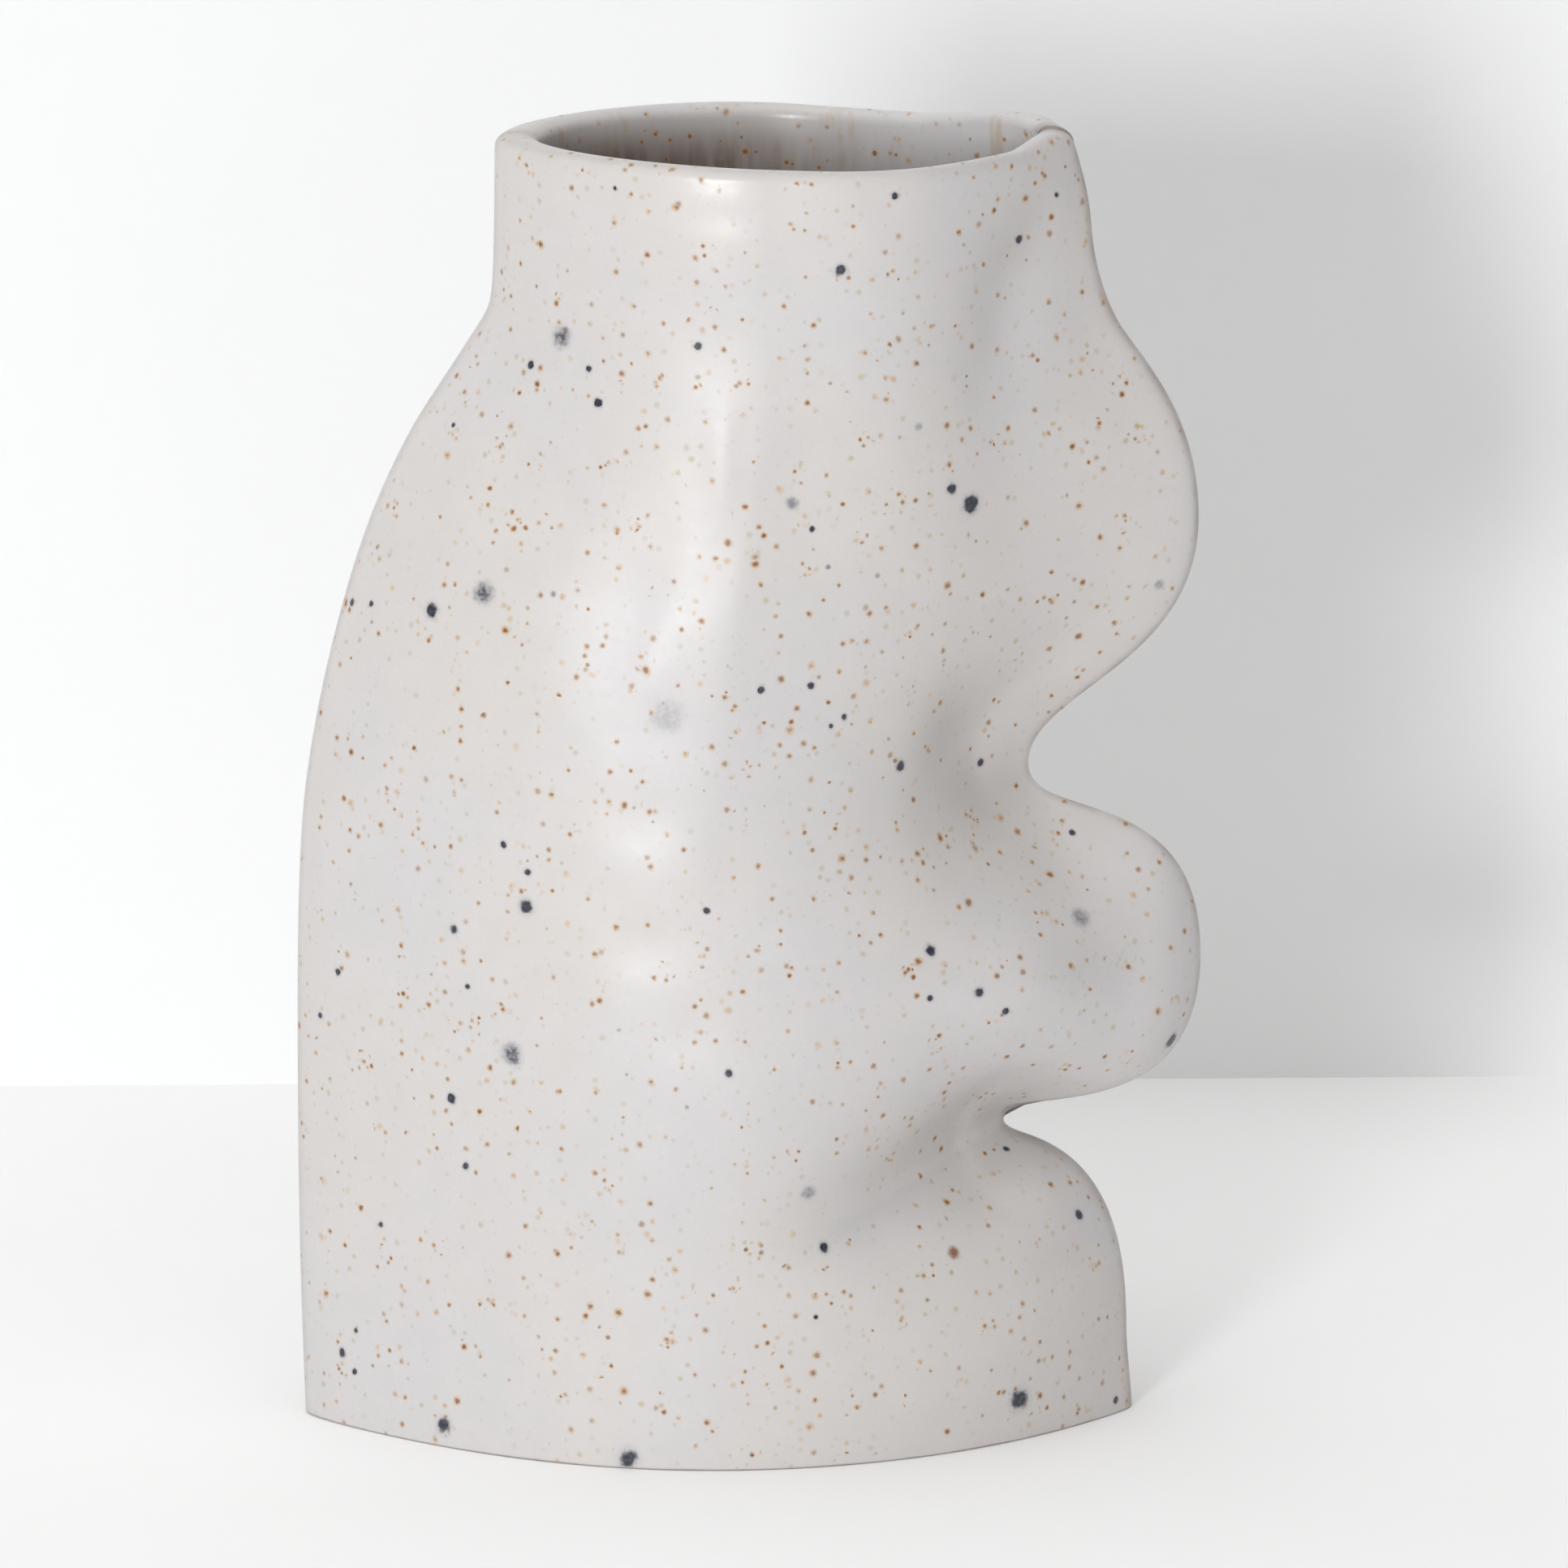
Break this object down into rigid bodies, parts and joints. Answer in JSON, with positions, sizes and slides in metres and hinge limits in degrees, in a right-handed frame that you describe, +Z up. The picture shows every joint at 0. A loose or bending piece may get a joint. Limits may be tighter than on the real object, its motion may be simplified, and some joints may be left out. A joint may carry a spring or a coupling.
{
  "type": "ceramic vase",
  "caption": "Flattened stoneware vase with a wide lens-shaped mouth, one plain shouldered side and one side that rolls in three lobes with deep notches, in speckled off-white glaze.",
  "frame": {"origin": "centre of the bounding box in X and Y, on the underside that the vase rests on", "axes": "+Z up along the height, +X towards the lobed side, -Y towards the front, so Y is the flattened depth"},
  "size_m": [0.1244, 0.0666, 0.1816],
  "materials": {
    "speckled_glaze": "satin off-white glaze with fine rust and tan iron specks and a few larger blue-black spots",
    "bare_stoneware": "unglazed fine-grained stoneware underside, glazed on the inside of the vase"
  },
  "bodies": {
    "root": {"front_wall": "speckled_glaze", "back_wall": "speckled_glaze", "base_floor": "bare_stoneware"}
  },
  "joints": []
}
